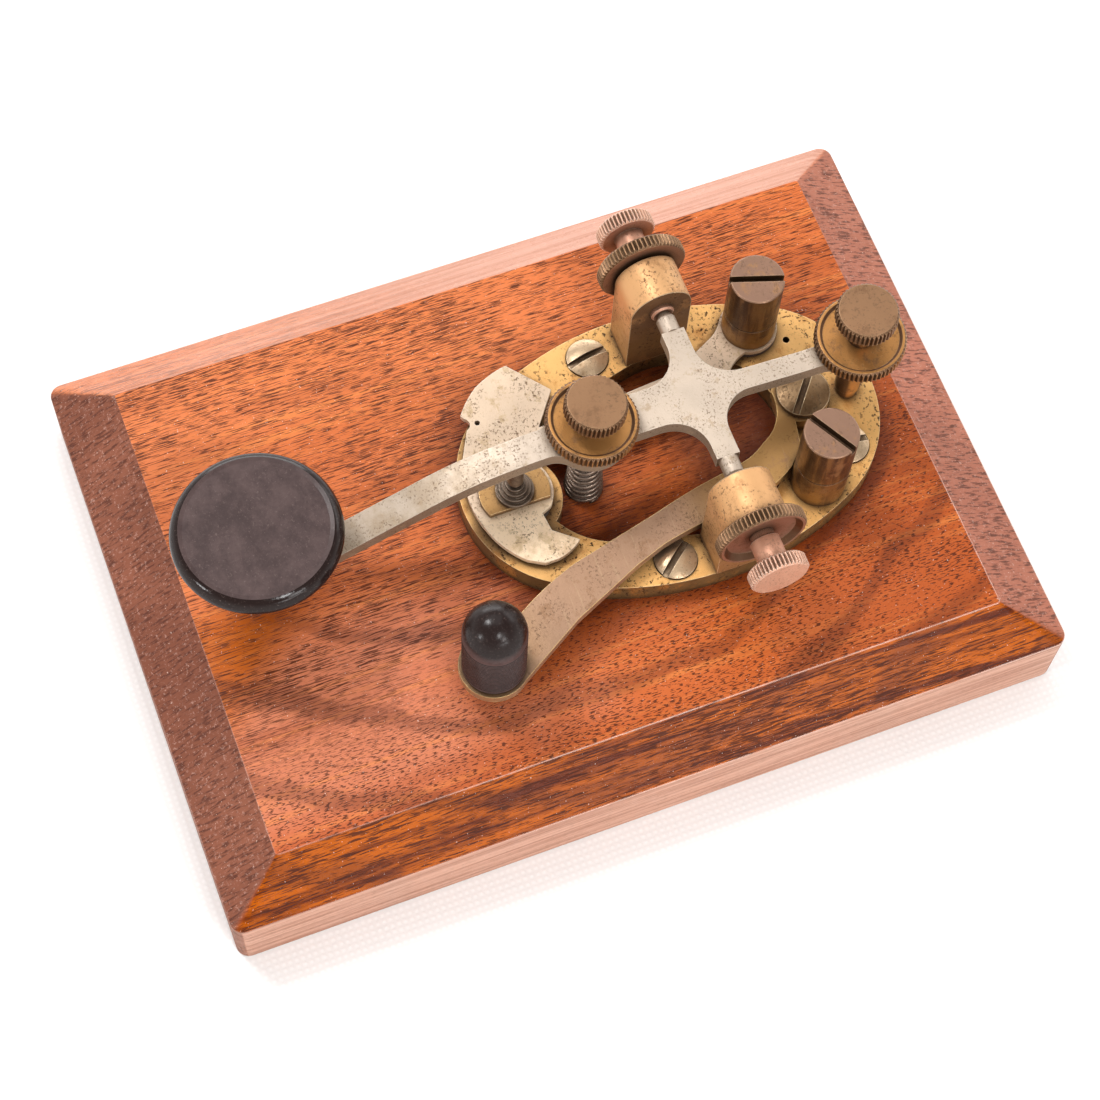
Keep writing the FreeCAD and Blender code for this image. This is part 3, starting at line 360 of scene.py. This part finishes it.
def frame_zones(m, colour):
    """Dark olive-brown edge, and a dark lobe round the anvil."""
    side = m.facing_either("Z", 0.75, 0.30)
    streaks = m.noise(260, 4.0, 0.65, m.stretched((1.0, 1.0, 0.5)))
    brown = m.mix(streaks, (0.040, 0.024, 0.009), (0.25, 0.150, 0.055))
    colour = m.tint(colour, side, 0.92, brown)
    lobe = m.times(m.at("Y", 0.004, -0.001), m.at("X", 0.000, 0.004))
    near_anvil = m.times(lobe, m.at("X", 0.012, 0.009))
    return m.tint(colour, near_anvil, 0.7, (0.23, 0.135, 0.062))


# ---------------------------------------------------------------- wood

# The board is longest along Y. Its grain runs along Y and dives into it on the closer's side.
ALONG_GRAIN = (1.0, 0.02, 1.0)
PORE = (0.050, 0.010, 0.004)


def top_wood(m, across, along, streaks):
    """The varnished top: redder and deeper towards the closer and the rear, with a paler patch of painted
    sheen and an amber patch that is a painted reflection of the knob.
    """
    cloud = m.noise(15, 2.0, 0.5, m.stretched((1.0, 0.5, 1.0)), distortion=0.5)
    deep = m.math("ADD", m.ramp(across, -0.045, 0.045, 0.0, 0.75, smooth=False),
                  m.ramp(along, -0.080, 0.080, 0.0, 0.25, smooth=False))
    deep = m.math("ADD", deep, m.ramp(cloud, 0.3, 0.7, -0.3, 0.3), clamp=True)
    colour = m.mix(deep, (0.660, 0.180, 0.056), (0.470, 0.082, 0.0085))

    # Painted sheen: a paler pinkish patch towards the front on the closer's side, a painted reflection of
    # bright light in the varnish.
    wavy = m.ramp(m.noise(30, 3.0, 0.6), 0.3, 0.7, -0.012, 0.012)
    sheen_patch = m.times(m.ramp(m.math("ADD", along, wavy), 0.000, -0.030),
                   m.times(m.ramp(across, 0.000, 0.018), m.ramp(across, 0.052, 0.038)))
    colour = m.tint(colour, sheen_patch, 0.48, (0.640, 0.260, 0.165))
    # Painted reflection: deeper amber in front of the knob, where the knob's dark reflection in the varnish
    # hides the sheen.
    amber = m.times(m.ramp(m.math("ADD", along, across), -0.038, -0.052), m.ramp(across, -0.004, 0.006))
    colour = m.tint(colour, amber, 0.88, (0.440, 0.092, 0.0035))
    rear = m.times(m.ramp(along, 0.026, 0.052), m.ramp(across, -0.038, -0.014))
    colour = m.tint(colour, rear, 0.50, (0.290, 0.055, 0.0120))

    figure = m.noise(75, 3.0, 0.6, m.stretched((1.0, 0.11, 1.0)), distortion=0.7)
    colour = m.mix(m.ramp(figure, 0.46, 0.72, 0.0, 0.50), colour, (0.300, 0.055, 0.0090))
    return m.mix(m.ramp(streaks, 0.50, 0.74, 0.0, 0.50), colour, (0.76, 0.250, 0.062))


def growth_rings(m, across):
    """Dark arcs that cross the closer's side of the board, where its rings are cut at a slant."""
    rings = m.add("ShaderNodeTexWave", wave_type="RINGS", rings_direction="Z", wave_profile="SIN")
    m.link(m.stretched((1.0, 0.80, 0.0), move=(0.023, 0.005, 0.0)), rings.inputs["Vector"])
    rings.inputs["Scale"].default_value = 23
    rings.inputs["Distortion"].default_value = 4.5
    rings.inputs["Detail"].default_value = 3.0
    rings.inputs["Detail Scale"].default_value = 1.4
    return m.times(m.ramp(rings.outputs["Fac"], 0.72, 0.99), m.ramp(across, -0.012, 0.018))


def wood_pores(m, across, along, near_bevel):
    """Long thin dashes on the far side, and short specks where the grain dives on the closer's side."""
    density = m.ramp(m.noise(95, 3.0, 0.6, m.stretched((1.0, 0.30, 1.0))), 0.30, 0.72, -0.040, 0.032)
    dashes = m.noise(4200, 2.0, 0.55, m.stretched((1.0, 0.050, 0.4), turn=(0, 0, 0.03)))
    more_dashes = m.noise(6000, 1.5, 0.45, m.stretched((1.0, 0.060, 0.4), move=(0.3, 0.1, 0)))
    dashes = m.math("MAXIMUM", m.ramp(m.math("ADD", dashes, density), 0.545, 0.585),
                    m.ramp(m.math("ADD", more_dashes, density), 0.560, 0.605, 0.0, 0.80))
    specks = m.noise(4400, 1.5, 0.50, m.stretched((1.0, 0.19, 0.6), turn=(0, 0, 0.10)))
    specks = m.ramp(m.math("ADD", specks, density), 0.535, 0.600, 0.0, 0.95)
    slant = m.ramp(along, -0.05, 0.06, -0.022, 0.012)
    short_grain = m.ramp(m.math("ADD", across, slant), -0.004, 0.020)
    return m.mix(m.math("SUBTRACT", short_grain, near_bevel, clamp=True), dashes, specks)


def end_wood(m):
    """End grain: finer and browner, dark in front, and paler at the rear as a painted sheen, with rubbed
    specks.
    """
    cloud = m.ramp(m.noise(42, 3.0, 0.6), 0.34, 0.66)
    front_grain = m.mix(cloud, (0.240, 0.082, 0.047), (0.185, 0.060, 0.034))
    # Painted sheen: the end grain that faces the rear is made paler.
    rear_grain_sheen = m.mix(cloud, (0.420, 0.150, 0.092), (0.340, 0.118, 0.072))
    colour = m.mix(m.facing("Y", -0.1, 0.1), front_grain, rear_grain_sheen)
    fibres = m.noise(2400, 3.0, 0.6, m.stretched((1.0, 0.16, 0.16)))
    colour = m.mix(m.ramp(fibres, 0.47, 0.64, 0.0, 0.85), colour, (0.085, 0.026, 0.016))
    rubbed = m.ramp(m.noise(1500, 5.0, 0.80), 0.545, 0.66, 0.0, 0.62)
    return m.mix(rubbed, colour, (0.50, 0.30, 0.24))


def wood():
    """Varnished reddish wood, with different colours for its top, its bevels and its upright faces."""
    m = Shader("wood_look")
    across = m.place_part("X")
    along = m.place_part("Y")
    near_bevel = m.times(m.facing("X", 0.15, 0.40), m.facing("Z", 0.3, 0.5))
    end = m.facing_either("Y", 0.28, 0.45)
    side = m.facing("Z", 0.45, 0.10)
    streaks = m.noise(560, 3.0, 0.65, m.stretched((1.0, 0.028, 1.0)))
    colour = top_wood(m, across, along, streaks)

    # The closer's bevel cuts across the layers: golden, with long dark streaks.
    layers = m.noise(230, 4.0, 0.65, m.stretched((1.0, 0.055, 1.0)), distortion=0.5)
    golden = m.mix(m.ramp(layers, 0.44, 0.60), (0.440, 0.092, 0.0030), (0.110, 0.016, 0.0015))
    colour = m.mix(near_bevel, colour, golden)
    colour = m.tint(colour, growth_rings(m, across), 0.42, (0.085, 0.018, 0.008))
    pores = wood_pores(m, across, along, near_bevel)
    colour = m.tint(colour, pores, 0.88, PORE)
    colour = m.mix(end, colour, end_wood(m))

    # The far bevel is painted light pink as a painted sheen, with faint long lines.
    lines = m.ramp(m.noise(700, 4.0, 0.7, m.stretched(ALONG_GRAIN)), 0.36, 0.66)
    far_bevel_sheen = m.times(m.facing("X", -0.15, -0.40), m.ramp(along, -0.075, 0.010, 0.40, 0.95))
    far_bevel_sheen = m.times(far_bevel_sheen, m.but_not(end))
    pink = m.mix(lines, (0.62, 0.33, 0.245), (0.47, 0.215, 0.140))
    colour = m.mix(far_bevel_sheen, colour, pink)

    # Upright faces are less varnished, and their paler colour is painted light, as where low light from the
    # sides falls on them.
    upright_lines = m.ramp(m.noise(900, 4.0, 0.7, m.stretched(ALONG_GRAIN)), 0.38, 0.66)
    painted_light_upright = m.mix(upright_lines, (0.62, 0.365, 0.270), (0.37, 0.185, 0.125))
    colour = m.mix(m.times(side, m.ramp(end, 0.0, 1.0, 0.88, 0.30)), colour, painted_light_upright)

    # The ridges between the faces are rubbed paler and carry a painted highlight, most of all on the
    # closer's side.
    patchy = m.ramp(m.noise(130, 3.0, 0.6), 0.30, 0.52, 0.45, 1.0)
    ridge_wear_and_highlight = m.times(m.edge(0.00042, 0.993, 0.955), patchy)
    ridge_wear_and_highlight = m.times(ridge_wear_and_highlight, m.ramp(along, -0.050, -0.015, 0.35, 1.0))
    closer_half = m.ramp(across, -0.010, 0.020, 0.15, 1.0)
    colour = m.mix(m.times(ridge_wear_and_highlight, closer_half), colour, (0.88, 0.62, 0.52))

    dust = m.ramp(m.noise(3200, 1.0, 0.3), 0.760, 0.790, 0.0, 0.6)
    colour = m.mix(dust, colour, (0.80, 0.62, 0.52))
    # Painted shade: dark in hollows and beside the frame, where shade falls.
    nook_shade = m.times(m.crevice(0.011), m.facing("Z", 0.85, 0.95))
    colour = m.tint(colour, nook_shade, 0.72, (0.055, 0.006, 0.001))

    # The rear half of the frame's opening is painted dark: painted shade under the lever, with grime.
    opening_shade_and_grime = m.times(m.ramp(along, 0.022, 0.030), m.ramp(along, 0.050, 0.046))
    opening_shade_and_grime = m.times(opening_shade_and_grime, m.ramp(m.size_of(across), 0.022, 0.020))
    colour = m.tint(colour, opening_shade_and_grime, 0.60, (0.060, 0.012, 0.004))
    m.shader_input("Base Color", colour)

    rough = m.ramp(m.noise(240, 4.0, 0.65), 0.3, 0.7, 0.22, 0.32)
    rough = m.math("ADD", rough, m.times(pores, 0.20))
    rough = m.math("ADD", rough, m.times(end, 0.10))
    rough = m.math("ADD", rough, m.times(side, 0.22), clamp=True)
    m.shader_input("Roughness", rough)
    m.shader_input("Specular IOR Level", 0.14)
    height = m.math("SUBTRACT", m.times(streaks, 0.35), pores)
    m.shader_input("Normal", m.bump(height, 0.00005, 0.45, m.rounded(0.0005)))
    return m.material


# ---------------------------------------------------------------- plastic, fibre and cloth

def black_plastic(name, gloss, matt, polish):
    """Dark moulded knob: matt and dusty where its normal's Z is near matt, glossy where it is near gloss.

    polish is the glossy part's roughness.
    """
    m = Shader(name)
    handled = m.facing("Z", gloss, matt)
    mottle = m.ramp(m.noise(190, 5.0, 0.7), 0.30, 0.70)
    face = m.mix(mottle, (0.040, 0.022, 0.021), (0.080, 0.049, 0.046))
    colour = m.mix(handled, (0.016, 0.009, 0.008), face)
    dust = m.ramp(m.noise(2300, 5.0, 0.8), 0.57, 0.68)
    colour = m.tint(colour, dust, 0.45, (0.19, 0.135, 0.12))
    m.shader_input("Base Color", colour)
    rough = m.ramp(m.noise(600), 0.3, 0.7, polish * 0.8, polish * 1.2)
    rough = m.math("ADD", rough, m.times(handled, 0.36))
    m.shader_input("Roughness", rough)
    m.shader_input("Specular IOR Level", 0.17)
    m.shader_input("Coat Weight", 0.06)
    m.shader_input("Coat Roughness", 0.12)
    m.shader_input("Normal", m.bump(m.noise(1900, 3.0, 0.6), 0.00005, 0.5))
    return m.material


def fibre():
    """Dark, matt insulating fibre."""
    m = Shader("fibre_look")
    m.shader_input("Base Color", m.mix(m.noise(900, 4.0, 0.7), (0.035, 0.026, 0.022), (0.075, 0.055, 0.045)))
    m.shader_input("Roughness", 0.65)
    m.shader_input("Normal", m.bump(m.noise(2500), 0.00003, 0.5))
    return m.material


def cloth():
    """Plain white table cloth with a fine weave."""
    m = Shader("cloth_look")
    weave = []
    for axis in ("X", "Y"):
        wave = m.add("ShaderNodeTexWave", wave_type="BANDS", bands_direction=axis)
        m.link(m.place, wave.inputs["Vector"])
        wave.inputs["Scale"].default_value = 260
        wave.inputs["Distortion"].default_value = 0.8
        weave.append(wave.outputs["Fac"])
    height = m.times(weave[0], weave[1])
    m.shader_input("Base Color", m.mix(height, (0.90, 0.895, 0.89), (0.96, 0.958, 0.955)))
    m.shader_input("Roughness", 0.95)
    m.shader_input("Specular IOR Level", 0.1)
    m.shader_input("Normal", m.bump(height, 0.00015, 0.35))
    return m.material


# ---------------------------------------------------------------- a look for each material slot

DARK = (0.055, 0.028, 0.012)
LOOKS = {
    "wood": wood(),
    "frame_brass": metal(
        "frame_brass_look", base=(0.80, 0.450, 0.150), patina=(0.50, 0.215, 0.048),
        dark=(0.055, 0.024, 0.008), bright=(0.95, 0.72, 0.40), roughness=0.48,
        cover=0.55, pits=0.95, size=430, metallic=0.45, zones=frame_zones),
    "trunnion_brass": metal(
        "trunnion_brass_look", base=(0.66, 0.360, 0.155), patina=(0.38, 0.185, 0.072),
        dark=DARK, bright=(0.95, 0.72, 0.45), roughness=0.50,
        cover=0.45, pits=0.75, size=480, metallic=0.45, zones=trunnion_zones),
    "post_bronze": metal(
        "post_bronze_look", base=(0.285, 0.160, 0.105), patina=(0.36, 0.185, 0.080),
        dark=DARK, bright=(0.62, 0.40, 0.24), roughness=0.42,
        cover=0.30, pits=0.35, wear=0.45, zones=post_zones),
    "nut_bronze": metal(
        "nut_bronze_look", base=(0.300, 0.160, 0.080), patina=(0.190, 0.095, 0.045),
        dark=DARK, bright=(0.62, 0.40, 0.22), roughness=0.42,
        cover=0.42, pits=0.35, wear=0.55, zones=thumb_zones),
    "thumb_copper": metal(
        "thumb_copper_look", base=(0.66, 0.335, 0.215), patina=(0.44, 0.190, 0.110),
        dark=DARK, bright=(0.95, 0.72, 0.58), roughness=0.45,
        cover=0.35, pits=0.35, metallic=0.5, wear=0.9),
    "lever_nickel": metal(
        "lever_nickel_look", base=(0.600, 0.490, 0.390), patina=(0.430, 0.310, 0.200),
        dark=(0.150, 0.085, 0.040), bright=(0.82, 0.72, 0.60), roughness=0.55,
        cover=0.30, pits=0.60, size=760, metallic=0.55, wear=0.4, shade_and_grime=0.6, zones=lever_zones),
    "plate_silver": metal(
        "plate_silver_look", base=(0.740, 0.560, 0.400), patina=(0.500, 0.350, 0.190),
        dark=(0.140, 0.070, 0.028), bright=(0.90, 0.80, 0.66), roughness=0.52,
        cover=0.36, pits=0.80, size=640, metallic=0.25, shade_and_grime=0.6, zones=plate_zones),
    "closer_brass": metal(
        "closer_brass_look", base=(0.390, 0.230, 0.140), patina=(0.290, 0.155, 0.080),
        dark=DARK, bright=(0.80, 0.56, 0.24), roughness=0.44,
        cover=0.36, pits=0.40, metallic=0.55, wear=0.9, zones=closer_zones),
    "screw_bronze": metal(
        "screw_bronze_look", base=(0.560, 0.400, 0.250), patina=(0.300, 0.165, 0.070),
        dark=DARK, bright=(0.90, 0.72, 0.50), roughness=0.33,
        cover=0.42, pits=0.35),
    "washer_brass": metal(
        "washer_brass_look", base=(0.420, 0.235, 0.085), patina=(0.220, 0.115, 0.050),
        dark=DARK, bright=(0.85, 0.62, 0.34), roughness=0.38,
        cover=0.50, pits=0.50),
    "contact_steel": metal(
        "contact_steel_look", base=(0.200, 0.140, 0.100), patina=(0.110, 0.070, 0.045),
        dark=(0.03, 0.02, 0.012), bright=(0.48, 0.40, 0.32), roughness=0.34,
        cover=0.55, pits=0.40),
    "spring_steel": metal(
        "spring_steel_look", base=(0.240, 0.175, 0.135), patina=(0.130, 0.080, 0.050),
        dark=(0.04, 0.025, 0.015), bright=(0.62, 0.52, 0.42), roughness=0.28,
        cover=0.40, pits=0.30, soft=0.0001),
    "knob_black": black_plastic("knob_look", gloss=0.965, matt=0.992, polish=0.12),
    "insulator": fibre(),
}
BULLET_LOOK = black_plastic("bullet_look", gloss=0.38, matt=0.12, polish=0.27)
# A darker copy of the screw bronze for the closer's pivot screw: painted shade, for the shade under the
# lever's rear arm.
SHADED_SCREW_LOOK = metal(
    "shaded_screw_look", base=(0.250, 0.150, 0.070), patina=(0.140, 0.075, 0.030),
    dark=DARK, bright=(0.85, 0.66, 0.42), roughness=0.42,
    cover=0.50, pits=0.60, metallic=0.6, wear=0.9)

for part in frame["record"]["subparts"]:
    look = LOOKS[part["material_slot"]]
    if part["node"] == "closer_pivot_screw":
        look = SHADED_SCREW_LOOK
    piece = nodes[part["node"]]
    if not piece.material_slots:
        piece.data.materials.append(None)
    for slot in piece.material_slots:
        slot.link = "OBJECT"
        slot.material = look


# ---------------------------------------------------------------- detailed pieces

def new_piece(name, faces_from, look, body, replaced):
    """A smooth mesh that stands for a CAD node and moves with its body."""
    mesh = bpy.data.meshes.new(name)
    shape = bmesh.new()
    faces_from(shape)
    bmesh.ops.recalc_face_normals(shape, faces=shape.faces)
    shape.to_mesh(mesh)
    shape.free()
    for polygon in mesh.polygons:
        polygon.use_smooth = True
    mesh.materials.append(look)
    piece = bpy.data.objects.new(name, mesh)
    bpy.context.scene.collection.objects.link(piece)
    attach(piece, body)
    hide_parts(replaced)
    return piece


def bridge(shape, rings):
    """Quads between neighbouring rings of vertices."""
    for first, second in zip(rings, rings[1:]):
        count = len(first)
        for index in range(count):
            following = (index + 1) % count
            shape.faces.new((first[index], first[following], second[following], second[index]))


def turns(count):
    """The angles of count equal steps round a circle."""
    return [2 * math.pi * index / count for index in range(count)]


def fill_spring(shape):
    """Round wire wound into a cone that closes in upwards, with flat turns at both ends."""
    low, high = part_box("tension_spring")
    wire = 0.42 * MM
    foot_radius = 3.3 * MM
    closing = math.tan(math.radians(3.8))
    pitch = 1.7 * MM
    steps_per_turn = 40
    sides = 12
    bottom = low[2] + wire
    top = high[2] - wire
    flat_rise = 2.1 * wire
    middle_turns = round((top - bottom - 2 * flat_rise) / pitch)
    middle_rise = (top - bottom - 2 * flat_rise) / middle_turns
    centre = Vector(((low[0] + high[0]) / 2, 6.05 * MM, 0))
    rings = []
    height = bottom
    for step in range((middle_turns + 2) * steps_per_turn + 1):
        turn = step / steps_per_turn
        angle = 2 * math.pi * turn
        outward = Vector((math.cos(angle), math.sin(angle), 0))
        radius = foot_radius - (height - bottom) * closing
        spot = centre + outward * radius + Vector((0, 0, height))
        rings.append([
            shape.verts.new(spot + outward * (wire * math.cos(side)) + Vector((0, 0, wire * math.sin(side))))
            for side in turns(sides)
        ])
        in_middle = 1 <= turn < middle_turns + 1
        height += (middle_rise if in_middle else flat_rise) / steps_per_turn
    bridge(shape, rings)
    shape.faces.new(rings[0])
    shape.faces.new(rings[-1])


def fill_bullet(shape):
    """The closer's knob: fine ribs round its straight side, and a smooth round top."""
    low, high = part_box("closer_knob")
    radius = (high[0] - low[0]) / 2
    centre = Vector(((low[0] + high[0]) / 2, (low[1] + high[1]) / 2, low[2]))
    wall = high[2] - low[2] - radius
    around = 96
    dome_steps = 14
    rib = 0.62 * MM
    groove = 0.09 * MM
    profile = [(radius - 0.5 * MM, 0), (radius - 0.1 * MM, 0.15 * MM), (radius, 0.6 * MM)]
    height = 1.0 * MM
    while height + rib < wall - 0.6 * MM:
        profile += [
            (radius, height),
            (radius, height + rib * 0.55),
            (radius - groove, height + rib * 0.70),
            (radius - groove, height + rib * 0.85),
        ]
        height += rib
    profile.append((radius, wall - 0.4 * MM))
    for index in range(dome_steps):
        angle = math.pi / 2 * index / dome_steps
        profile.append((radius * math.cos(angle), wall + radius * math.sin(angle)))
    rings = []
    for out, up in profile:
        rings.append([
            shape.verts.new(centre + Vector((out * math.cos(turn), out * math.sin(turn), up)))
            for turn in turns(around)
        ])
    bridge(shape, rings)
    shape.faces.new(rings[0])
    peak = shape.verts.new(centre + Vector((0, 0, wall + radius)))
    for index in range(around):
        shape.faces.new((rings[-1][index], rings[-1][(index + 1) % around], peak))


spring = new_piece("coil_spring", fill_spring, LOOKS["spring_steel"], "base",
                   "tension_spring")
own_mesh(spring)
new_piece("bullet_knob", fill_bullet, BULLET_LOOK, "closer", "closer_knob")


# ---------------------------------------------------------------- stage and light

FLOOR_HALF = 0.45
FLOOR_DROP = 0.0002
WORLD_COLOUR = (1.0, 0.985, 0.965, 1)
LAMP_TARGET = (0, 0, 0.02)

# Name, place, size in metres, and how bright its surface is.
LAMPS = (
    ("sheen", (-0.27, 0.10, 0.66), (0.50, 0.50), 1.35),
    ("key", (-0.36, -0.24, 0.80), (0.18, 0.18), 34.0),
    ("far_side", (-0.75, 0.15, 0.24), (0.66, 0.22), 5.0),
    ("rear", (-0.30, 0.66, 0.38), (0.50, 0.20), 2.6),
    ("front", (0.11, -0.70, 0.42), (0.12, 0.12), 27.0),
    ("near_side", (0.60, 0.19, 0.54), (0.18, 0.18), 11.0),
    ("near_strip", (0.66, 0.12, 0.33), (0.34, 0.05), 13.0),
    ("near_soft", (0.46, 0.03, 0.70), (0.13, 0.13), 31.0),
)


def add_floor():
    mesh = bpy.data.meshes.new("floor")
    half = FLOOR_HALF
    corners = [(-half, -half, 0), (half, -half, 0), (half, half, 0), (-half, half, 0)]
    mesh.from_pydata(corners, [], [(0, 1, 2, 3)])
    mesh.materials.append(cloth())
    floor = bpy.data.objects.new("floor", mesh)
    bpy.context.scene.collection.objects.link(floor)
    floor.location.z = -FLOOR_DROP


def add_lamp(name, place, size, radiance):
    """A white rectangle that faces the key."""
    data = bpy.data.lights.new(name, "AREA")
    data.shape = "RECTANGLE"
    data.size, data.size_y = size
    data.energy = radiance * math.pi * size[0] * size[1]
    lamp = bpy.data.objects.new(name, data)
    bpy.context.scene.collection.objects.link(lamp)
    lamp.location = place
    lamp.rotation_euler = (Vector(LAMP_TARGET) - Vector(place)).to_track_quat("-Z", "Y").to_euler()


def add_world():
    """A white tent: bright all round near the table, dimmer overhead."""
    world = bpy.data.worlds.new("world")
    bpy.context.scene.world = world
    world.use_nodes = True
    tree = world.node_tree
    background = tree.nodes["Background"]
    place = tree.nodes.new("ShaderNodeTexCoord")
    split = tree.nodes.new("ShaderNodeSeparateXYZ")
    height = tree.nodes.new("ShaderNodeMapRange")
    tree.links.new(place.outputs["Generated"], split.inputs[0])
    tree.links.new(split.outputs["Z"], height.inputs[0])
    low, high, table, overhead = 0.02, 0.62, 1.6, 0.30
    for socket, number in zip(height.inputs[1:5], (low, high, table, overhead)):
        socket.default_value = number
    tree.links.new(height.outputs[0], background.inputs[1])
    background.inputs[0].default_value = WORLD_COLOUR


add_camera()
add_floor()
add_world()
for lamp in LAMPS:
    add_lamp(*lamp)
bpy.context.scene.view_settings.view_transform = "Standard"
